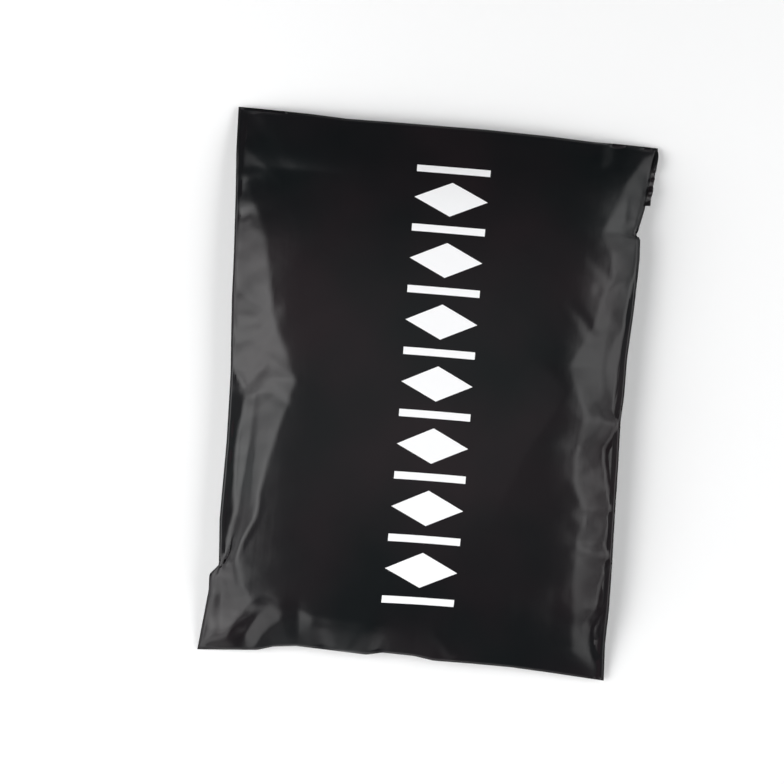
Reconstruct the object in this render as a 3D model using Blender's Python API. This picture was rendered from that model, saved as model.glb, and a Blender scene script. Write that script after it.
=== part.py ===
"""Filled poly mailer bag, sealed, lying on its back panel.

The bag is one sheet of film. Its front and back panels are joined along two
side seams, and the bottom edge is a fold. At the top the film folds over to
the back as a flap, which is glued down. Sealed, it is one closed body, and
the soft goods inside give it its pillow form.

Origin: under the middle of the bag, on the surface it lies on.
+X runs across the bag, +Y along it towards the folded top edge, +Z up.
"""

import bmesh
import bpy

# Driving dimensions, in metres. Flat, the bag is 0.254 by 0.330.
TOP_WIDTH = 0.2486          # between the two top corners, filled
BOTTOM_WIDTH = 0.2408       # between the two bottom corners, filled
LENGTH = 0.3190             # between the top and bottom corners
THICKNESS = 0.0320          # crown of the front panel above the surface
EDGE_HEIGHT = 0.0090        # of the seams at the middle of each side
CORNER_HEIGHT = 0.0020      # of the flat corners

SIDE_DRAW_IN = 0.0075       # how far the fill pulls each side in
TOP_DRAW_IN = 0.0010
BOTTOM_DRAW_IN = 0.0055
DRAW_IN_POWER = 4           # higher keeps the pull away from the corners

SIDE_SLOPE = 0.034          # run of the front panel's slopes, side and end
END_SLOPE = 0.030
UNDER_SIDE_SLOPE = 0.028    # run of the back panel's slopes, side and end
UNDER_END_SLOPE = 0.050
CROWN = 0.0020              # rise of the front panel from its rim to its middle

FIN_WIDTH = 0.0015          # flat welded border
FIN_THICKNESS = 0.0006      # two layers of film, thickened
FLAP_DEPTH = 0.036          # of the glued flap, down the back panel
FLAP_STEP = 0.0005          # height of the flap's edge on the back panel
FLAP_OVERHANG = 0.0010      # flap's end beyond the right-hand corner

COLUMNS = 26                # panels' grid, across and along
ROWS = 34

FILM_COLOUR = (0.012, 0.012, 0.013, 1.0)
FILM_ROUGHNESS = 0.33


def clear_scene():
    """Remove every object of the open file."""
    for old in list(bpy.data.objects):
        bpy.data.objects.remove(old, do_unlink=True)


def film_material():
    """Black, half-glossy polyethylene film."""
    material = bpy.data.materials.new("black_film")
    material.use_nodes = True
    shader = material.node_tree.nodes["Principled BSDF"]
    shader.inputs["Base Color"].default_value = FILM_COLOUR
    shader.inputs["Roughness"].default_value = FILM_ROUGHNESS
    shader.inputs["Metallic"].default_value = 0.0
    return material


def smooth_step(value):
    """Go from 0 to 1 with a level start and end."""
    value = min(max(value, 0.0), 1.0)
    return value * value * (3.0 - 2.0 * value)


def column_place(column):
    """Place of a grid column across the bag, from -1 to 1."""
    fin = FIN_WIDTH / (TOP_WIDTH / 2)
    if column == 0:
        return -1.0
    if column == COLUMNS:
        return 1.0
    return -(1.0 - fin) + 2.0 * (1.0 - fin) * (column - 1) / (COLUMNS - 2)


def row_place(row):
    """Place of a grid row along the bag, from -1 to 1.

    Two rows stand close together at the flap's edge, one on each side of it.
    """
    flap_edge = 1.0 - FLAP_DEPTH / (LENGTH / 2)
    fin = FIN_WIDTH / (LENGTH / 2)
    flap_rows = 7
    body_rows = ROWS - flap_rows - 1
    if row == 0:
        return -1.0
    if row <= body_rows:
        low = -1.0 + fin
        return low + (flap_edge - low) * (row - 1) / (body_rows - 1)
    if row == ROWS:
        return 1.0
    flap_low = flap_edge + 2.0 * FLAP_STEP / LENGTH
    flap_high = 1.0 - fin
    step = (row - body_rows - 1) / (flap_rows - 1)
    return flap_low + (flap_high - flap_low) * step


def outline_point(across, along):
    """Plan position of a grid point, with the edges drawn in by the fill."""
    top_share = (along + 1.0) / 2.0
    half_width = (BOTTOM_WIDTH + (TOP_WIDTH - BOTTOM_WIDTH) * top_share) / 2.0
    half_width -= SIDE_DRAW_IN * (1.0 - abs(along) ** DRAW_IN_POWER)
    end_draw = TOP_DRAW_IN if along > 0 else BOTTOM_DRAW_IN
    half_length = LENGTH / 2 - end_draw * (1.0 - abs(across) ** DRAW_IN_POWER)
    return across * half_width, along * half_length


def edge_height(across, along):
    """Height of the nearest edge: low at the corners, lifted between them."""
    middle = max(1.0 - (across * along) ** 2, 0.0)
    return CORNER_HEIGHT + (EDGE_HEIGHT - CORNER_HEIGHT) * smooth_step(middle)


def ease_out(share):
    """Rise steeply from 0 and level off at 1."""
    share = min(max(share, 0.0), 1.0)
    return 1.0 - (1.0 - share) ** 2


def rise_inside(across, along, side_run, end_run):
    """0 on the welded border, 1 once past the slopes of both sides and both ends."""
    from_side = ((1.0 - abs(across)) * TOP_WIDTH / 2 - FIN_WIDTH) / side_run
    from_end = ((1.0 - abs(along)) * LENGTH / 2 - FIN_WIDTH) / end_run
    return ease_out(from_side) * ease_out(from_end)


def front_height(across, along):
    """Height of the front panel: slopes, a soft rim and a slightly crowned top."""
    edge = edge_height(across, along) + FIN_THICKNESS / 2
    crown = CROWN * (1.0 - across ** 2) * (1.0 - along ** 2)
    rim = THICKNESS - CROWN
    return edge + (rim - edge + crown) * rise_inside(across, along, SIDE_SLOPE, END_SLOPE)


def back_height(across, along):
    """Height of the back panel: flat where it rests, curving up to the edges."""
    edge = edge_height(across, along) - FIN_THICKNESS / 2
    rise = rise_inside(across, along, UNDER_SIDE_SLOPE, UNDER_END_SLOPE)
    return edge * (1.0 - rise)


def in_flap(along):
    """True above the flap's edge, where the film lies double on the back."""
    return along > 1.0 - (FLAP_DEPTH - FLAP_STEP / 2) / (LENGTH / 2)


def place_vertex(vertex, on_front):
    """Move one vertex of the unit grid to its place on the bag.

    The flap's right-hand end stays straight, and shows beyond the drawn-in side.
    """
    column = round((vertex.co.x + 1.0) / 2.0 * COLUMNS)
    row = round((vertex.co.y + 1.0) / 2.0 * ROWS)
    across = column_place(column)
    along = row_place(row)
    x, y = outline_point(across, along)
    if column == COLUMNS and in_flap(along):
        x = TOP_WIDTH / 2 + FLAP_OVERHANG
    z = front_height(across, along) if on_front else back_height(across, along)
    if in_flap(along) and not on_front:
        z -= FLAP_STEP * smooth_step(z / (2 * FLAP_STEP))
    vertex.co = (x, y, z)


def centre_on_origin(mesh_data):
    """Put the middle of the bag's underside on the origin."""
    xs = [vertex.co.x for vertex in mesh_data.verts]
    ys = [vertex.co.y for vertex in mesh_data.verts]
    middle = ((min(xs) + max(xs)) / 2, (min(ys) + max(ys)) / 2, 0.0)
    bmesh.ops.translate(mesh_data, verts=mesh_data.verts, vec=[-value for value in middle])


def make_mailer_bag(collection):
    """The sealed bag: two grid panels, joined round the border."""
    grid = bmesh.new()
    bmesh.ops.create_grid(grid, x_segments=COLUMNS, y_segments=ROWS, size=1.0)
    back_verts = list(grid.verts)
    extruded = bmesh.ops.extrude_face_region(grid, geom=list(grid.faces))
    front_verts = [item for item in extruded["geom"] if isinstance(item, bmesh.types.BMVert)]
    for vertex in front_verts:
        place_vertex(vertex, on_front=True)
    for vertex in back_verts:
        place_vertex(vertex, on_front=False)
    centre_on_origin(grid)
    bmesh.ops.recalc_face_normals(grid, faces=grid.faces)
    mesh = bpy.data.meshes.new("mailer_bag")
    grid.to_mesh(mesh)
    grid.free()
    mesh.shade_smooth()
    mesh.materials.append(film_material())
    bag = bpy.data.objects.new("mailer_bag", mesh)
    collection.objects.link(bag)
    return bag


def main():
    clear_scene()
    parts = bpy.data.collections.new("poly_mailer_bag")
    bpy.context.scene.collection.children.link(parts)
    make_mailer_bag(parts)


main()
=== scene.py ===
"""Looks for the poly mailer bag: black film, draped over its fill by a small film solver.

The bag lies on its back panel. +X runs across it, +Y along it to the folded top edge, +Z up.
Lists of points are in millimetres in that frame; objects are in metres.
"""

import math

import bpy
import numpy as np
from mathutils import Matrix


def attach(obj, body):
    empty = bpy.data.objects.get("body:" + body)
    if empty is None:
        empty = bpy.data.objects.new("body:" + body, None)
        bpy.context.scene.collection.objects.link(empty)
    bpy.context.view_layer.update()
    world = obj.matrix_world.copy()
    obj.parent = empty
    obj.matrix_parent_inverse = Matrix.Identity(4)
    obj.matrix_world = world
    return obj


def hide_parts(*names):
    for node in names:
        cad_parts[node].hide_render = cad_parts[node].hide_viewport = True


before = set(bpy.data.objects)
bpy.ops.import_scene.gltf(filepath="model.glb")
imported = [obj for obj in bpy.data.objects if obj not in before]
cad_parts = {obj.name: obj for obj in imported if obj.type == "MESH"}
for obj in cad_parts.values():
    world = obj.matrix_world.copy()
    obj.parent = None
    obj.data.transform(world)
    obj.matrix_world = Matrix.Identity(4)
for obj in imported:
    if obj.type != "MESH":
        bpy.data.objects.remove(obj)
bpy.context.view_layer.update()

MM = 0.001

# ---------------------------------------------------------------- the film, before filling

FILM_WIDTH = 254.0          # seam to seam
FILM_LENGTH = 330.0         # bottom fold to top fold
COLUMNS = 141               # film grid at its finest, across and along
ROWS = 181
COARSENING = (4, 2, 1)      # the solver works from a coarse grid to the finest one

# ---------------------------------------------------------------- the filled bag's edges
# Each point is (x, y, z): the seams and folds, from corner to corner.

TOP_LEFT = (-124.4, 161.0, 2.0)
TOP_RIGHT = (124.3, 158.3, 2.0)
BOTTOM_LEFT = (-120.5, -160.7, 1.5)
BOTTOM_RIGHT = (120.4, -157.8, 2.8)

LEFT_EDGE = [
    BOTTOM_LEFT, (-116.3, -124.1, 9.0), (-116.6, -114.9, 11.5), (-111.2, -108.7, 14.5),
    (-113.2, -82.2, 14.5), (-113.1, -35.9, 14.5), (-114.3, 4.0, 14.5), (-114.8, 10.4, 14.5),
    (-117.4, 46.9, 14.5), (-118.4, 70.6, 14.5), (-120.6, 106.1, 12.5), (-123.0, 135.6, 8.5), TOP_LEFT,
]
RIGHT_EDGE = [
    BOTTOM_RIGHT, (118.8, -135.7, 7.2), (118.9, -114.9, 11.5), (118.3, -89.5, 13.0),
    (117.4, -66.4, 14.0), (116.5, -29.5, 14.5), (115.6, -4.1, 14.5), (116.4, 9.7, 14.5),
    (116.2, 32.9, 14.5), (117.7, 60.8, 14.0), (118.5, 91.0, 13.0), (117.9, 103.6, 12.5),
    (114.9, 105.0, 12.5), (116.0, 106.8, 12.5), (119.3, 121.0, 9.5), (121.5, 140.0, 5.5), TOP_RIGHT,
]
TOP_EDGE = [
    TOP_LEFT, (-101.5, 160.4, 5.0), (-79.7, 159.8, 7.0), (-59.9, 158.8, 8.0), (-32.1, 159.1, 9.0),
    (21.1, 159.5, 9.0), (60.4, 159.0, 8.0), (85.7, 158.0, 7.0), (102.1, 158.4, 5.0), TOP_RIGHT,
]
BOTTOM_EDGE = [
    BOTTOM_LEFT, (-85.0, -157.6, 4.5), (-76.0, -154.6, 6.0), (-62.3, -152.9, 7.0),
    (-39.1, -153.6, 8.0), (-20.5, -154.3, 8.0), (-11.5, -152.2, 8.0), (7.1, -152.5, 8.0),
    (18.8, -154.3, 8.0), (41.9, -154.1, 7.5), (65.0, -154.3, 6.5), (88.3, -155.7, 4.5), BOTTOM_RIGHT,
]

# ---------------------------------------------------------------- the sides' facets
# Lines of (x, y), bottom to top. From the seam inwards, a side has a level shelf as far as
# its shelf line, a slope up to its ridge, and a gentler brow from there to the crown.

LEFT_SHELF = [
    (-120.5, -160.7), (-116.4, -116.0), (-111.1, -109.4), (-109.3, -103.3), (-107.6, -88.9),
    (-105.7, -76.8), (-106.2, -63.8), (-107.2, -38.9), (-105.4, -19.1), (-104.3, -4.8),
    (-114.0, 6.0), (-114.8, 10.4), (-116.8, 46.9), (-116.2, 76.6), (-118.4, 110.0), (-121.2, 128.0),
    (-124.4, 161.0),
]
LEFT_RIDGE = [
    (-118.0, -160.0), (-106.9, -150.0), (-88.0, -134.0), (-89.0, -127.0), (-96.5, -116.0),
    (-101.0, -104.0), (-98.0, -92.0), (-91.5, -78.7), (-90.8, -63.6), (-87.6, -45.5),
    (-83.3, -27.3), (-79.0, -9.1), (-75.3, 3.1), (-84.8, 23.1), (-91.4, 37.4), (-96.0, 60.5),
    (-101.0, 83.9), (-107.8, 101.3), (-117.8, 125.0), (-122.5, 136.0), (-124.3, 161.0),
]
RIGHT_SHELF = [
    (120.3, -157.9), (117.5, -152.2), (111.8, -141.8), (109.1, -135.0), (108.1, -124.6),
    (112.8, -114.2), (111.5, -107.4), (115.0, -88.6), (116.9, -82.9), (112.6, -76.5),
    (115.2, -56.6), (112.0, -46.9), (107.0, -20.9), (115.3, -6.4), (113.5, -2.0), (111.2, 4.9),
    (111.6, 25.7), (113.4, 55.6), (116.0, 77.7), (118.4, 90.4), (117.9, 103.6), (114.8, 105.0),
    (119.3, 121.0), (124.3, 158.3),
]
RIGHT_RIDGE = [
    (119.8, -157.9), (98.9, -139.5), (96.1, -102.3), (96.1, -84.5), (95.6, -75.0), (99.1, -63.4),
    (96.3, -55.1), (90.7, -41.3), (90.4, -25.9), (93.7, -2.7), (89.7, 5.9), (82.5, 26.0),
    (94.3, 47.9), (98.8, 70.3), (103.3, 76.4), (101.2, 94.8), (94.9, 104.1), (103.0, 123.5),
    (109.8, 140.8), (115.4, 151.0), (123.4, 158.3),
]

CROWN_HEIGHT = 31.4         # at the middle of the bag
CROWN_HALF_WIDTH = 95.0
CROWN_HALF_LENGTH = 140.0
CROWN_FALL_ACROSS = 2.2     # how much lower it is at its half-width
CROWN_FALL_ALONG = 8.0      # and at its half-length
# Rise for each millimetre of run, in from the top and bottom folds, at each x.
TOP_ROOF = [(-118.0, 0.24), (-50.0, 0.55), (60.0, 0.60), (118.0, 0.62)]
BOTTOM_ROOF = [
    (-110.0, 1.05), (-96.0, 0.80), (-62.0, 0.75), (-54.0, 0.89), (-20.0, 0.87),
    (20.0, 0.62), (60.0, 0.60), (85.0, 0.44), (105.0, 0.39),
]
BOTTOM_RADIUS = [(-20.0, 1.6), (30.0, 4.0), (65.0, 4.0), (90.0, 1.6)]  # where it meets the crown
TOP_RADIUS = 4.5            # how softly the top roof meets the crown
BROW_RADIUS = 1.2           # how softly the brows do
BEND_RADIUS = 1.6           # how softly the other slopes meet
SHELF_RISE = (0.03, -0.10)  # the left and right shelves, rising or dipping inwards
BAND_BULGE = 0.06           # roundness of the side slopes
LEAST_BAND = 0.6            # narrowest run of a side slope
BROW_SLOPE = (0.20, 0.27)   # left and right
# The steepest that each side's slope gets, and its ridge's depth below the crown, as (value, y).
BAND_SLOPE = (
    [(0.85, -124.0), (1.2, -108.0), (1.15, -60.0), (0.85, -20.0)],
    [(2.0, -121.0), (1.3, -110.0), (0.95, -95.0), (0.85, -80.0)],
)
RIDGE_DROP = (
    [(1.5, -125.0), (1.0, -108.0), (0.6, -92.0)],
    [(0.5, 18.0), (2.0, 38.0), (2.0, 85.0), (0.5, 98.0)],
)
LEFT = 0
RIGHT = 1

# Creases: points (x, y), half-width, depth at the first point and at the last one. A negative
# depth is a raised fold.
LEFT_CREASES = [
    ([(-104.3, -4.8), (-92.3, 14.1), (-75.3, 3.1)], 5.0, -0.8, -0.3),
    ([(-98.0, -8.0), (-90.0, 2.0), (-80.0, 2.0)], 7.0, 0.6, 0.2),
    ([(-90.1, -71.3), (-95.9, -86.6), (-101.9, -99.1), (-107.1, -107.8)], 4.0, -0.3, -0.9),
    ([(-99.5, -8.0), (-100.0, -40.0), (-102.0, -75.0), (-106.5, -104.0)], 4.5, 0.7, 2.0),
    ([(-112.0, 52.0), (-100.0, 44.0), (-92.0, 36.0)], 8.0, 1.0, 0.3),
    ([(-113.0, 22.0), (-100.0, 27.0), (-88.0, 20.0)], 8.0, 1.0, 0.3),
    ([(-117.0, 38.0), (-104.0, 34.0), (-93.0, 30.0)], 6.0, -0.8, 0.0),
    ([(-116.0, 96.0), (-110.0, 99.0), (-103.0, 88.0)], 4.0, 0.9, 0.1),
    ([(-122.0, 141.6), (-110.0, 131.0), (-97.0, 120.0)], 4.0, -0.4, -0.1),
    ([(-116.0, 154.3), (-100.0, 135.0), (-84.1, 115.3)], 6.0, 0.4, 0.0),
]
CORNER_CREASES = [
    ([(-107.5, -113.0), (-108.0, -132.0), (-107.5, -147.0)], 7.0, 1.2, 0.8),
    ([(-113.0, -120.0), (-113.5, -146.0)], 4.5, -0.6, -0.6),
    ([(-104.0, -108.0), (-101.0, -122.0), (-96.0, -131.0)], 5.0, 0.5, 0.2),
    ([(-93.0, -148.5), (-86.0, -137.0), (-81.0, -133.0)], 9.0, 3.4, 1.8),
    ([(-67.0, -147.0), (-71.0, -138.0), (-75.0, -132.0)], 12.0, -1.0, -0.8),
    ([(-117.0, -156.0), (-110.0, -146.0)], 4.0, -1.0, -0.6),
    ([(-50.0, -138.0), (-46.0, -152.0)], 7.0, 0.3, 1.4),
    ([(-26.0, -140.0), (-31.0, -152.5)], 7.0, -0.3, -1.2),
    ([(18.6, -137.7), (28.5, -148.7)], 5.0, -0.3, -1.4),
    ([(-11.0, -141.0), (-14.0, -152.0)], 6.0, 0.2, 1.4),
    ([(90.5, 157.5), (91.0, 148.0)], 6.0, -1.4, -1.0),
    ([(100.5, 157.5), (99.0, 147.0)], 6.0, 1.4, 1.0),
]
RIGHT_CREASES = [
    ([(114.5, 104.6), (106.0, 99.0), (97.0, 97.0)], 5.0, 1.1, 0.2),
    ([(114.0, 112.0), (106.0, 112.0)], 4.0, -0.9, -0.2),
    ([(90.0, 86.0), (98.0, 80.0), (103.0, 74.0)], 5.0, 0.3, 0.9),
    ([(80.0, 60.0), (88.0, 52.0), (93.0, 44.0)], 5.0, 0.3, 0.9),
    ([(104.0, 60.0), (101.0, 35.0), (104.0, 10.0)], 7.0, -0.5, -0.2),
    ([(108.0, 44.0), (104.0, 24.0), (110.0, 8.0)], 4.0, 0.4, 0.2),
    ([(112.3, 0.0), (103.0, 2.0), (93.7, -1.0)], 5.0, 1.9, 0.4),
    ([(108.0, -14.0), (100.0, -20.0), (92.0, -26.0)], 5.0, -0.5, -0.1),
    ([(110.0, -24.0), (103.0, -33.0), (92.0, -40.0)], 5.0, 0.9, 0.3),
    ([(111.0, -44.0), (102.0, -48.0), (94.0, -52.0)], 5.0, -1.1, -0.2),
    ([(113.0, -60.0), (105.0, -62.0), (98.0, -60.0)], 5.0, 1.8, 0.6),
    ([(111.0, -72.0), (103.0, -80.0), (97.0, -78.0)], 5.0, -0.8, -0.2),
    ([(115.0, -90.0), (106.0, -88.0), (97.0, -84.0)], 4.5, 1.8, 0.4),
    ([(112.0, -100.0), (104.0, -104.0), (97.0, -108.0)], 6.0, 0.4, 0.1),
    ([(113.8, -113.8), (107.5, -126.8), (110.5, -136.7), (118.5, -154.0)], 2.6, -1.5, -0.1),
    ([(116.5, -118.0), (113.5, -128.0), (116.0, -144.0)], 2.6, -1.2, -0.6),
]
FRONT_CREASES = [
    ([(83.0, 10.0), (60.0, -30.0), (45.0, -70.0)], 28.0, -1.8, -0.4),
]

# Small creases scattered over the two side slopes.
CRUMPLES = 22               # on each side
CRUMPLE_SEED = 11
CRUMPLE_SPAN = (-145.0, 130.0)  # along the bag
CRUMPLE_SHARES = (0.15, 0.95)   # of the way from the seam to the ridge
CRUMPLE_DEPTH = 0.45        # spread, about none
CRUMPLE_FADE = 0.5          # depth at the last point, as a share of the first one's
CRUMPLE_LENGTHS = (9.0, 24.0)
CRUMPLE_HALF_WIDTHS = (3.5, 6.5)

# Gathers: ripples across the side seams, which the fill has drawn short. (wavelength, phase)
GATHERS = [(47.0, 0.4), (29.0, 2.1), (17.7, 4.0)]
GATHER_HEIGHT = 0.16
GATHER_START = 3.0          # how far in from the seams they reach their full height
GATHER_REACH = 22.0         # how far in they fade
GATHER_SLANT = 0.6          # shift along the bag for each millimetre across

# The back panel is level under the fill and curves up to the edges.
SEAM_WIDTH = 4.0            # beside the edges it stays at their height
BACK_SIDE_RUN = 30.0        # how far in from the seams it touches down
BACK_END_RUN = 40.0         # and from the folds
BACK_CURVE = 1.5


def read_line(points, places, key, item):
    """One item of a line of points, read at each place along another item."""
    ordered = sorted(points, key=lambda point: point[key])
    return np.interp(places, [point[key] for point in ordered], [point[item] for point in ordered])


def along_x(points, x, item):
    return read_line(points, x, 0, item)


def along_y(points, y, item):
    return read_line(points, y, 1, item)


def soft_min(heights, radius):
    """The lowest of several surfaces, rounded where they meet."""
    lowest = np.min(heights, axis=0)
    total = sum(np.exp((lowest - height) / radius) for height in heights)
    return lowest - radius * np.log(total)


def scattered_creases():
    """Small creases on the side slopes, at random but the same ones each time."""
    random = np.random.default_rng(CRUMPLE_SEED)
    creases = []
    for edge, ridge in ((LEFT_EDGE, LEFT_RIDGE), (RIGHT_EDGE, RIGHT_RIDGE)):
        for y in random.uniform(*CRUMPLE_SPAN, CRUMPLES):
            share = random.uniform(*CRUMPLE_SHARES)
            x = (1.0 - share) * along_y(edge, y, 0) + share * along_y(ridge, y, 0)
            turn = random.uniform(0.0, math.pi)
            half = random.uniform(*CRUMPLE_LENGTHS) / 2.0
            reach_x = half * math.cos(turn)
            reach_y = half * math.sin(turn)
            ends = [(x - reach_x, y - reach_y), (x + reach_x, y + reach_y)]
            depth = random.normal(0.0, CRUMPLE_DEPTH)
            half_width = random.uniform(*CRUMPLE_HALF_WIDTHS)
            creases.append((ends, half_width, depth, CRUMPLE_FADE * depth))
    return creases


CREASES = LEFT_CREASES + CORNER_CREASES + RIGHT_CREASES + FRONT_CREASES + scattered_creases()


def fill_height(x, y):
    """Height of the film over the fill, without the two side slopes."""
    across = CROWN_FALL_ACROSS * np.abs(x / CROWN_HALF_WIDTH) ** 3
    fall = across + CROWN_FALL_ALONG * np.abs(y / CROWN_HALF_LENGTH) ** 3
    top = along_x(TOP_EDGE, x, 2) + along_x(TOP_ROOF, x, 1) * (along_x(TOP_EDGE, x, 1) - y)
    bottom = along_x(BOTTOM_EDGE, x, 2) + along_x(BOTTOM_ROOF, x, 1) * (y - along_x(BOTTOM_EDGE, x, 1))
    under_top = soft_min([CROWN_HEIGHT - fall, top], TOP_RADIUS)
    return soft_min([under_top, bottom], along_x(BOTTOM_RADIUS, x, 1))


def side_slope(height, x, y, side):
    """Bring the height down to a side's shelf, slope and brow, out to its seam."""
    edge = (LEFT_EDGE, RIGHT_EDGE)[side]
    edge_x = along_y(edge, y, 0)
    edge_z = along_y(edge, y, 2)
    inward = (1.0, -1.0)[side]
    inside = (x - edge_x) * inward
    shelf_x = along_y((LEFT_SHELF, RIGHT_SHELF)[side], y, 0)
    ridge_x = along_y((LEFT_RIDGE, RIGHT_RIDGE)[side], y, 0)
    to_shelf = np.maximum((shelf_x - edge_x) * inward, 0.0)
    to_ridge = np.maximum((ridge_x - edge_x) * inward, to_shelf + LEAST_BAND)
    shelf_z = edge_z + SHELF_RISE[side] * to_shelf
    run = to_ridge - to_shelf
    crown_z = fill_height(edge_x + inward * to_ridge, y) - along_y(RIDGE_DROP[side], y, 0)
    steepest_z = shelf_z + along_y(BAND_SLOPE[side], y, 0) * run
    ridge_z = np.maximum(soft_min([crown_z, steepest_z], BEND_RADIUS), shelf_z)
    share = np.clip((inside - to_shelf) / run, 0.0, 1.0)
    slope = shelf_z + (ridge_z - shelf_z) * (share + BAND_BULGE * share * (1.0 - share))
    slope = np.where(inside < to_shelf, edge_z + SHELF_RISE[side] * inside, slope)
    brow = ridge_z + BROW_SLOPE[side] * (inside - to_ridge)
    return soft_min([height, np.where(inside < to_ridge, slope, brow)], BROW_RADIUS)


def crease_depth(x, y, points, half_width, first, last):
    """Depth of a V-shaped crease along a line of points."""
    depth = np.zeros_like(x)
    count = len(points) - 1
    for index in range(count):
        ax, ay = points[index]
        bx, by = points[index + 1]
        length_squared = (bx - ax) ** 2 + (by - ay) ** 2
        share = np.clip(((x - ax) * (bx - ax) + (y - ay) * (by - ay)) / length_squared, 0.0, 1.0)
        distance = np.hypot(x - ax - share * (bx - ax), y - ay - share * (by - ay))
        along = (index + share) / count
        here = (first + (last - first) * along) * np.clip(1.0 - distance / half_width, 0.0, 1.0)
        depth = np.where(np.abs(here) > np.abs(depth), here, depth)
    return depth


def gathers(x, y):
    """Small ripples that run in from both side seams."""
    from_left = x - along_y(LEFT_EDGE, y, 0)
    from_right = along_y(RIGHT_EDGE, y, 0) - x
    slanted = y + GATHER_SLANT * np.abs(x)
    wave = sum(np.sin(2.0 * math.pi * slanted / length + phase) for length, phase in GATHERS)
    inside = np.maximum(np.minimum(from_left, from_right), 0.0)
    start = np.clip(inside / GATHER_START, 0.0, 1.0)
    return GATHER_HEIGHT * wave * np.exp(-inside / GATHER_REACH) * start


def front_target(x, y):
    """Height that the front panel tends to, from the fill and its creases."""
    height = fill_height(x, y)
    height = side_slope(height, x, y, LEFT)
    height = side_slope(height, x, y, RIGHT)
    for points, half_width, first, last in CREASES:
        height = height - crease_depth(x, y, points, half_width, first, last)
    return height + gathers(x, y)


def ramp_up(distance, run):
    """1 beside the edge, falling to 0 further in."""
    return np.clip(1.0 - (distance - SEAM_WIDTH) / run, 0.0, 1.0) ** BACK_CURVE


def back_target(x, y):
    """Height of the back panel: level under the fill, curving up to the edges."""
    left = along_y(LEFT_EDGE, y, 2) * ramp_up(x - along_y(LEFT_EDGE, y, 0), BACK_SIDE_RUN)
    right = along_y(RIGHT_EDGE, y, 2) * ramp_up(along_y(RIGHT_EDGE, y, 0) - x, BACK_SIDE_RUN)
    top = along_x(TOP_EDGE, x, 2) * ramp_up(along_x(TOP_EDGE, x, 1) - y, BACK_END_RUN)
    bottom = along_x(BOTTOM_EDGE, x, 2) * ramp_up(y - along_x(BOTTOM_EDGE, x, 1), BACK_END_RUN)
    return np.maximum.reduce([left, right, top, bottom])


# ---------------------------------------------------------------- film solver

PASSES = {4: 200, 2: 150, 1: 60}  # at each coarseness
READ_EVERY = 4              # passes from one reading of the target heights to the next
PULL = 0.10                 # towards the target heights, in each pass
STRETCH_FIRMNESS = 0.9      # how far the threads' lengths are put right in each pass
SHEAR_FIRMNESS = 0.5        # and the diagonals'
SLACK_FIRMNESS = 0.25       # how far slack film keeps its length, against stretched film
BEND = 0.04                 # bending stiffness
EDGE_WEIGHT = 0.5           # how firmly the border keeps to its places
WELD_THICKNESS = 0.16       # two layers of film
BACK_LOWEST = 0.12          # the back panel's least height above the surface
START_NOISE = 0.3           # roughness of the film before it settles
START_SEED = 7


def line_points(points, count):
    """Points at equal steps of length along a line of points."""
    line = np.array(points)
    steps = np.hypot(np.diff(line[:, 0]), np.diff(line[:, 1]))
    run = np.concatenate([[0.0], np.cumsum(steps)])
    wanted = np.linspace(0.0, run[-1], count)
    return np.stack([np.interp(wanted, run, line[:, item]) for item in range(3)], axis=1)


def edge_loop(rows, columns):
    """Target places of the four edges, as grid borders."""
    return {
        "left": line_points(LEFT_EDGE, rows),
        "right": line_points(RIGHT_EDGE, rows),
        "bottom": line_points(BOTTOM_EDGE, columns),
        "top": line_points(TOP_EDGE, columns),
    }


def blended_panel(edges, rows, columns):
    """A Coons patch between the four edges."""
    u = np.linspace(0.0, 1.0, columns)[None, :, None]
    v = np.linspace(0.0, 1.0, rows)[:, None, None]
    across = (1 - u) * edges["left"][:, None] + u * edges["right"][:, None]
    along = (1 - v) * edges["bottom"][None] + v * edges["top"][None]
    corners = (
        (1 - u) * (1 - v) * np.array(BOTTOM_LEFT) + u * (1 - v) * np.array(BOTTOM_RIGHT)
        + (1 - u) * v * np.array(TOP_LEFT) + u * v * np.array(TOP_RIGHT)
    )
    return across + along - corners


def hold_pair(first, second, rest, stiffness):
    """Move two arrays of points, in place, towards their rest distance."""
    gap = second - first
    length = np.sqrt(np.sum(gap * gap, axis=-1, keepdims=True)) + 1e-9
    firmness = np.where(length > rest, stiffness, stiffness * SLACK_FIRMNESS)
    move = gap * (0.5 * firmness * (length - rest) / length)
    first += move
    second -= move


def hold_lengths(panels, step_across, step_along):
    """One pass over the film's threads: across, along and on both diagonals."""
    diagonal = math.hypot(step_across, step_along)
    for start in (0, 1):
        even = panels[:, :, start::2]
        odd = panels[:, :, start + 1::2]
        count = odd.shape[2]
        hold_pair(even[:, :, :count], odd, step_across, STRETCH_FIRMNESS)
        hold_pair(even[:, :-1, :count], odd[:, 1:], diagonal, SHEAR_FIRMNESS)
        hold_pair(even[:, 1:, :count], odd[:, :-1], diagonal, SHEAR_FIRMNESS)
        low = panels[:, start::2]
        high = panels[:, start + 1::2]
        count = high.shape[1]
        hold_pair(low[:, :count], high, step_along, STRETCH_FIRMNESS)


def soften(panels):
    """Bending stiffness: draw each inner point towards its neighbours' mean."""
    inner = panels[:, 1:-1, 1:-1]
    total = panels[:, :-2, 1:-1] + panels[:, 2:, 1:-1] + panels[:, 1:-1, :-2] + panels[:, 1:-1, 2:]
    inner += BEND * (total / 4.0 - inner)


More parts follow.
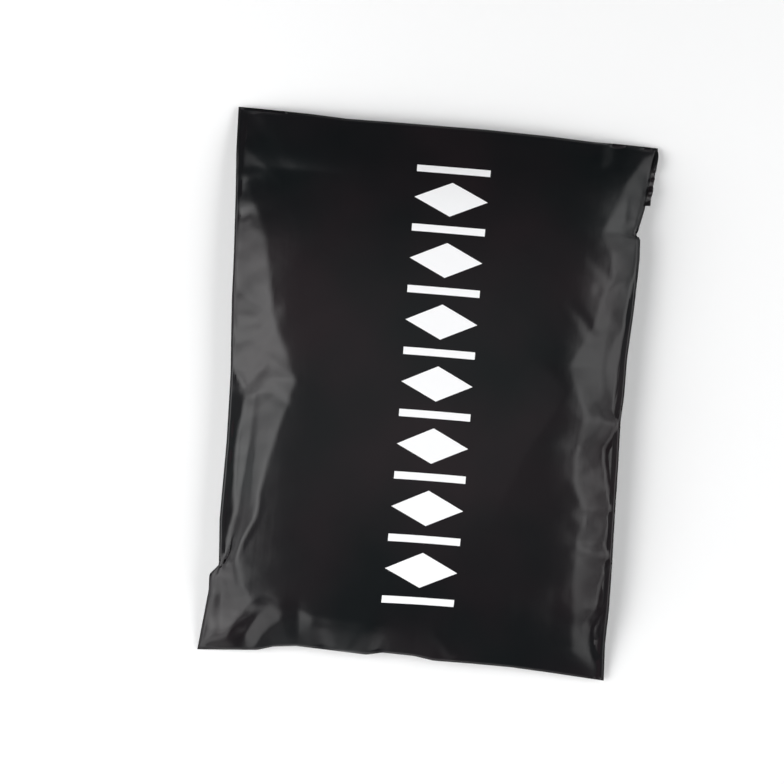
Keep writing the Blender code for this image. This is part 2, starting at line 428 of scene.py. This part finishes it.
def hold_edges(panels, edges):
    """Weld the panels together round the border and keep it near its places."""
    for border, places in (
        (np.s_[:, :, 0], edges["left"]), (np.s_[:, :, -1], edges["right"]),
        (np.s_[:, 0], edges["bottom"]), (np.s_[:, -1], edges["top"]),
    ):
        welded = panels[border].mean(axis=0)
        panels[border] = welded + EDGE_WEIGHT * (places - welded)
    for column in (1, -2):
        panels[:, :, column] = panels[:, :, column].mean(axis=0)
    panels[0, 1:-1, (1, -2), 2] += WELD_THICKNESS / 2
    panels[1, 1:-1, (1, -2), 2] -= WELD_THICKNESS / 2


def refine(panels):
    """Double the grid, with each new point midway between its neighbours."""
    count, rows, columns, _ = panels.shape
    tall = np.empty((count, 2 * rows - 1, columns, 3))
    tall[:, ::2] = panels
    tall[:, 1::2] = (panels[:, 1:] + panels[:, :-1]) / 2
    wide = np.empty((count, 2 * rows - 1, 2 * columns - 1, 3))
    wide[:, :, ::2] = tall
    wide[:, :, 1::2] = (tall[:, :, 1:] + tall[:, :, :-1]) / 2
    return wide


def settle(panels, passes):
    """Let the film settle on the fill and the surface below, keeping its lengths."""
    rows, columns = panels.shape[1:3]
    edges = edge_loop(rows, columns)
    step_across = FILM_WIDTH / (columns - 1)
    step_along = FILM_LENGTH / (rows - 1)
    front, back = panels
    for index in range(passes):
        if index % READ_EVERY == 0:
            front_rest = front_target(front[..., 0], front[..., 1])
            back_rest = back_target(back[..., 0], back[..., 1])
        front[..., 2] += PULL * (front_rest - front[..., 2])
        back[..., 2] += PULL * (back_rest - back[..., 2])
        hold_lengths(panels, step_across, step_along)
        soften(panels)
        back[..., 2] = np.maximum(back[..., 2], BACK_LOWEST)
        hold_edges(panels, edges)
    return panels


def draped_film():
    """Front and back panels of the filled bag, as grids of points."""
    coarse = COARSENING[0]
    rows = (ROWS - 1) // coarse + 1
    columns = (COLUMNS - 1) // coarse + 1
    patch = blended_panel(edge_loop(rows, columns), rows, columns)
    front = patch.copy()
    front[..., 2] = front_target(patch[..., 0], patch[..., 1])
    back = patch.copy()
    back[..., 2] = back_target(patch[..., 0], patch[..., 1])
    panels = np.stack([front, back])
    noise = np.random.default_rng(START_SEED)
    panels[..., 2] += noise.normal(0.0, START_NOISE, panels.shape[:3])
    for level in COARSENING:
        if level != coarse:
            panels = refine(panels)
        panels = settle(panels, PASSES[level])
    return panels


# ---------------------------------------------------------------- meshes

MAP_UNIT = 100.0            # millimetres of film for 1 in the UV map
BACK_MAP_SHIFT = 4.0        # keeps the back panel's map clear of the front's print


def shell_mesh(name, panels):
    """One closed shell of film from the two panels, which share their border."""
    _, rows, columns, _ = panels.shape
    index = np.arange(2 * rows * columns).reshape(2, rows, columns)
    for border in (np.s_[0, :], np.s_[-1, :], np.s_[:, 0], np.s_[:, -1]):
        index[1][border] = index[0][border]
    used, flat = np.unique(index, return_inverse=True)
    flat = flat.reshape(index.shape)
    points = panels.reshape(-1, 3)[used] * MM
    u, v = np.meshgrid(np.linspace(-0.5, 0.5, columns), np.linspace(-0.5, 0.5, rows))
    flat_places = np.stack([u * FILM_WIDTH / MAP_UNIT, v * FILM_LENGTH / MAP_UNIT], axis=-1)
    quads = []
    maps = []
    for side, order in ((0, (0, 1, 2, 3)), (1, (3, 2, 1, 0))):
        quads.append(quad_corners(flat[side], order).reshape(-1, 4))
        shifted = flat_places + np.array([side * BACK_MAP_SHIFT, 0.0])
        maps.append(quad_corners(shifted, order).reshape(-1, 2))
    mesh = bpy.data.meshes.new(name)
    mesh.from_pydata(points.tolist(), [], np.concatenate(quads).tolist())
    layer = mesh.uv_layers.new(name="film")
    layer.uv.foreach_set("vector", np.concatenate(maps).astype(np.float32).ravel())
    mesh.shade_smooth()
    return mesh


def quad_corners(grid, order):
    """The four corners of each of a grid's cells, in the given order."""
    corners = (grid[:-1, :-1], grid[:-1, 1:], grid[1:, 1:], grid[1:, :-1])
    return np.stack([corners[item] for item in order], axis=2)


# ---------------------------------------------------------------- film and print

PRINT_MIDDLE = (0.06, 0.05)     # on the film's map, in tenths of a metre, as all of these
PRINT_HALF_WIDTH = 0.22
LOZENGE_HALF_HEIGHT = 0.105
BAR_HALF_HEIGHT = 0.022
PRINT_PITCH = 0.37
PRINT_REPEATS = 7

# Colours mix in patches. Scales of noise are for each 100 mm of film, as on its map.
FILM_DARK = (0.0046, 0.0060, 0.0068, 1.0)
FILM_WARM = (0.0118, 0.0084, 0.0101, 1.0)
INK = (0.92, 0.92, 0.93, 1.0)
FILM_ROUGHNESS = (0.28, 0.32)
INK_ROUGHNESS = 0.40
FILM_SPECULAR = 0.30
PATCH_SCALE = 1.1
PATCH_SPAN = (0.35, 0.65)   # noise that turns the film from dark to warm
SCUFF_SCALE = 6.0
SCUFF_SPAN = (0.1, 0.9)     # noise that takes it from least to most rough
GRAIN_SCALE = 22.0
GRAIN_HEIGHT = 0.03
LINE_SCALE = 30.0
LINE_STRETCH = (1.0, 0.03, 1.0)  # the lines run along the film
LINE_HEIGHT = 0.05
CRINKLE_SCALE = 5.0
CRINKLE_PLACES = (0.7, 1.1)     # across, where the crinkles grow
CRINKLE_HEIGHTS = (0.15, 0.6)   # in the middle, and near the side seams
BUMP_STRENGTH = 0.6
BUMP_DISTANCE = 0.0012


class Nodes:
    """Makes a material's nodes, and links what it is given into them."""

    def __init__(self, name):
        self.material = bpy.data.materials.new(name)
        self.material.use_nodes = True
        self.tree = self.material.node_tree
        self.shader = self.tree.nodes["Principled BSDF"]

    def feed(self, socket, value):
        if isinstance(value, bpy.types.NodeSocket):
            self.tree.links.new(value, socket)
        else:
            socket.default_value = value

    def math(self, operation, *values):
        node = self.tree.nodes.new("ShaderNodeMath")
        node.operation = operation
        for socket, value in zip(node.inputs, values):
            self.feed(socket, value)
        return node.outputs[0]

    def mix_colour(self, share, first, second):
        node = self.tree.nodes.new("ShaderNodeMix")
        node.data_type = "RGBA"
        self.feed(node.inputs["Factor"], share)
        self.feed(node.inputs[6], first)
        self.feed(node.inputs[7], second)
        return node.outputs[2]

    def noise(self, place, scale, detail=2.0, stretch=(1.0, 1.0, 1.0)):
        mapping = self.tree.nodes.new("ShaderNodeMapping")
        mapping.inputs["Scale"].default_value = stretch
        self.feed(mapping.inputs["Vector"], place)
        node = self.tree.nodes.new("ShaderNodeTexNoise")
        node.inputs["Scale"].default_value = scale
        node.inputs["Detail"].default_value = detail
        self.feed(node.inputs["Vector"], mapping.outputs["Vector"])
        return node.outputs["Fac"]

    def ramp(self, value, span, to_span):
        node = self.tree.nodes.new("ShaderNodeMapRange")
        self.feed(node.inputs["Value"], value)
        for name, number in zip(("From Min", "From Max", "To Min", "To Max"), span + to_span):
            node.inputs[name].default_value = number
        return node.outputs["Result"]


def print_mask(nodes, across, along):
    """1 on the printed band: a column of lozenges with a bar between each two."""
    across = nodes.math("ABSOLUTE", nodes.math("SUBTRACT", across, PRINT_MIDDLE[0]))
    along = nodes.math("SUBTRACT", along, PRINT_MIDDLE[1])
    from_lozenge = nodes.math("PINGPONG", along, PRINT_PITCH / 2)
    width_share = nodes.math("DIVIDE", across, PRINT_HALF_WIDTH)
    height_share = nodes.math("DIVIDE", from_lozenge, LOZENGE_HALF_HEIGHT)
    lozenge = nodes.math("LESS_THAN", nodes.math("ADD", width_share, height_share), 1.0)
    bar_tall = nodes.math("GREATER_THAN", from_lozenge, PRINT_PITCH / 2 - BAR_HALF_HEIGHT)
    bar = nodes.math("MULTIPLY", bar_tall, nodes.math("LESS_THAN", width_share, 1.0))
    reach = PRINT_REPEATS * PRINT_PITCH / 2 + BAR_HALF_HEIGHT
    in_band = nodes.math("LESS_THAN", nodes.math("ABSOLUTE", along), reach)
    return nodes.math("MULTIPLY", nodes.math("MAXIMUM", lozenge, bar), in_band)


def film_material():
    """Half-glossy black film with a white print, crinkles, and faint lines from its making."""
    nodes = Nodes("black_film")
    uv = nodes.tree.nodes.new("ShaderNodeUVMap")
    uv.uv_map = "film"
    place = uv.outputs["UV"]
    split = nodes.tree.nodes.new("ShaderNodeSeparateXYZ")
    nodes.feed(split.inputs[0], place)
    mask = print_mask(nodes, split.outputs["X"], split.outputs["Y"])

    patches = nodes.ramp(nodes.noise(place, PATCH_SCALE), PATCH_SPAN, (0.0, 1.0))
    film = nodes.mix_colour(patches, FILM_DARK, FILM_WARM)
    nodes.feed(nodes.shader.inputs["Base Color"], nodes.mix_colour(mask, film, INK))

    film_rough = nodes.ramp(nodes.noise(place, SCUFF_SCALE), SCUFF_SPAN, FILM_ROUGHNESS)
    ink_share = nodes.math("MULTIPLY", mask, nodes.math("SUBTRACT", INK_ROUGHNESS, film_rough))
    nodes.shader.inputs["Specular IOR Level"].default_value = FILM_SPECULAR
    nodes.feed(nodes.shader.inputs["Roughness"], nodes.math("ADD", film_rough, ink_share))

    grain = nodes.math("MULTIPLY", nodes.noise(place, GRAIN_SCALE, detail=1.0), GRAIN_HEIGHT)
    line_noise = nodes.noise(place, LINE_SCALE, stretch=LINE_STRETCH)
    lines = nodes.math("MULTIPLY", line_noise, LINE_HEIGHT)
    from_middle = nodes.math("ABSOLUTE", split.outputs["X"])
    near_edge = nodes.ramp(from_middle, CRINKLE_PLACES, CRINKLE_HEIGHTS)
    crinkle = nodes.math("MULTIPLY", nodes.noise(place, CRINKLE_SCALE), near_edge)
    height = nodes.math("ADD", nodes.math("ADD", grain, lines), crinkle)
    bump = nodes.tree.nodes.new("ShaderNodeBump")
    bump.inputs["Strength"].default_value = BUMP_STRENGTH
    bump.inputs["Distance"].default_value = BUMP_DISTANCE
    nodes.feed(bump.inputs["Height"], height)
    nodes.feed(nodes.shader.inputs["Normal"], bump.outputs["Normal"])
    return nodes.material


def ride_as_film(piece):
    """Put a piece in the scene, attached to the root body."""
    bpy.context.scene.collection.objects.link(piece)
    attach(piece, "root")


def make_bag(panels, material):
    """The film envelope, as one padded piece."""
    mesh = shell_mesh("mailer_film", panels)
    mesh.materials.append(material)
    bag = bpy.data.objects.new("mailer_film", mesh)
    ride_as_film(bag)
    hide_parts("mailer_bag")


# The flap's right-hand end shows beyond the drawn-in seam.
FLAP_DEPTH = 36.0
FLAP_END = [(121.4, 118.0), (122.5, 124.7), (123.8, 137.8), (125.3, 154.0), (124.3, 158.3)]
FLAP_END_STEPS = 4
FLAP_END_LEAST = 0.4        # how far it shows at least
FLAP_GAP = 0.10             # under the back panel, for the glue
FLAP_LOWEST = 0.02          # its least height above the surface
FLAP_THICKNESS = 0.12       # drawn double, so that it isn't lost
# The end is crumpled: its outer edge rises and falls, row by row down from the top fold.
END_RISE = [(0, 0.0), (5, 2.4), (9, 0.3), (11, 1.8), (13, 0.3), (15, 2.2), (18, 0.2), (20, 1.4)]
END_CRINKLES = (9, 12, 17)  # rows where a narrow crease faces outwards
END_CRINKLE_DEPTH = 2.4


def flap_grid(back):
    """The flap's upper face: the back panel's top rows, carried on past the right-hand seam."""
    rows = back.shape[0]
    flap_rows = round(FLAP_DEPTH / FILM_LENGTH * (rows - 1)) + 1
    under = back[rows - flap_rows:].copy()
    under[..., 2] -= FLAP_GAP
    end_x = np.maximum(along_y(FLAP_END, under[:, -1, 1], 0), under[:, -1, 0] + FLAP_END_LEAST)
    from_fold = np.arange(flap_rows)[::-1]
    rise = along_x(END_RISE, from_fold, 1)
    for row in END_CRINKLES:
        rise[(from_fold == row) | (from_fold == row + 1)] -= END_CRINKLE_DEPTH
    tail = []
    for step in range(1, FLAP_END_STEPS + 1):
        share = step / FLAP_END_STEPS
        column = under[:, -1].copy()
        column[:, 0] += (end_x - column[:, 0]) * share
        column[:, 2] += rise * share
        tail.append(column)
    return np.concatenate([under, np.stack(tail, axis=1)], axis=1)


def make_flap(back, material):
    """The glued flap, a strip of film against the back panel, below the top fold."""
    upper = flap_grid(back)
    lower = upper.copy()
    lower[..., 2] -= FLAP_THICKNESS
    lift = np.maximum(FLAP_LOWEST - lower[..., 2], 0.0)
    upper[..., 2] += lift
    lower[..., 2] += lift
    mesh = shell_mesh("glued_flap", np.stack([upper, lower]))
    mesh.materials.append(material)
    ride_as_film(bpy.data.objects.new("glued_flap", mesh))


# ---------------------------------------------------------------- studio

# Sizes and places here are in metres.

VIEW_WIDTH = 0.464128       # what the picture spans at the surface
CAMERA_PLACE = (-0.0192, 0.0010, 1.3)
CAMERA_TURN = 5.06          # degrees
SENSOR = 36.0               # millimetres

FLOOR_HALF = 6.0
FLOOR_COLOUR = (0.95, 0.95, 0.95, 1.0)
FLOOR_ROUGHNESS = 0.9
WORLD_COLOUR = (0.9, 0.95, 1.0, 1.0)
WORLD_STRENGTH = 0.05

# Soft boxes, all facing the middle of the bag: name, place, size, watts. Each side has a wide one
# with a small one before it, so that the film's highlights aren't of one tone.
SOFT_BOXES = [
    ("left_softbox", (-1.05, -0.22, 0.75), (1.4, 1.4), 18.5),
    ("left_core", (-1.00, -0.15, 0.70), (0.6, 0.6), 2.6),
    ("right_softbox", (1.15, 0.02, 0.75), (2.4, 1.3), 19.0),
    ("right_core", (1.10, 0.08, 0.70), (0.7, 0.7), 2.0),
    ("corner_softbox", (-0.62, -1.0, 0.42), (0.8, 0.6), 4),
    ("overhead_fill", (0.0, 0.0, 2.6), (0.85, 0.8), 1.35),
]


def make_camera():
    """A camera straight above the bag, turned a little."""
    data = bpy.data.cameras.new("camera")
    data.sensor_width = SENSOR
    data.lens = SENSOR * CAMERA_PLACE[2] / VIEW_WIDTH
    camera = bpy.data.objects.new("camera", data)
    camera.location = CAMERA_PLACE
    camera.rotation_euler = (0.0, 0.0, math.radians(CAMERA_TURN))
    bpy.context.scene.collection.objects.link(camera)
    bpy.context.scene.camera = camera


def area_light(name, place, size, energy):
    """A soft box that faces the middle of the bag."""
    data = bpy.data.lights.new(name, "AREA")
    data.shape = "RECTANGLE"
    data.size, data.size_y = size
    data.energy = energy
    light = bpy.data.objects.new(name, data)
    light.location = place
    towards = -light.location
    light.rotation_mode = "QUATERNION"
    light.rotation_quaternion = towards.to_track_quat("-Z", "Y")
    bpy.context.scene.collection.objects.link(light)


def make_floor():
    mesh = bpy.data.meshes.new("floor")
    signs = ((-1, -1), (1, -1), (1, 1), (-1, 1))
    mesh.from_pydata([(FLOOR_HALF * x, FLOOR_HALF * y, 0) for x, y in signs], [], [(0, 1, 2, 3)])
    material = bpy.data.materials.new("pale_floor")
    material.use_nodes = True
    shader = material.node_tree.nodes["Principled BSDF"]
    shader.inputs["Base Color"].default_value = FLOOR_COLOUR
    shader.inputs["Roughness"].default_value = FLOOR_ROUGHNESS
    mesh.materials.append(material)
    floor = bpy.data.objects.new("floor", mesh)
    bpy.context.scene.collection.objects.link(floor)


def make_studio():
    """A pale floor, soft boxes and a dim sky."""
    make_floor()
    for name, place, size, energy in SOFT_BOXES:
        area_light(name, place, size, energy)
    world = bpy.data.worlds.new("studio")
    world.use_nodes = True
    sky = world.node_tree.nodes["Background"]
    sky.inputs["Color"].default_value = WORLD_COLOUR
    sky.inputs["Strength"].default_value = WORLD_STRENGTH
    bpy.context.scene.world = world
    bpy.context.scene.view_settings.view_transform = "Standard"


make_camera()
make_studio()
film_panels = draped_film()
black_film = film_material()
make_bag(film_panels, black_film)
make_flap(film_panels[1], black_film)
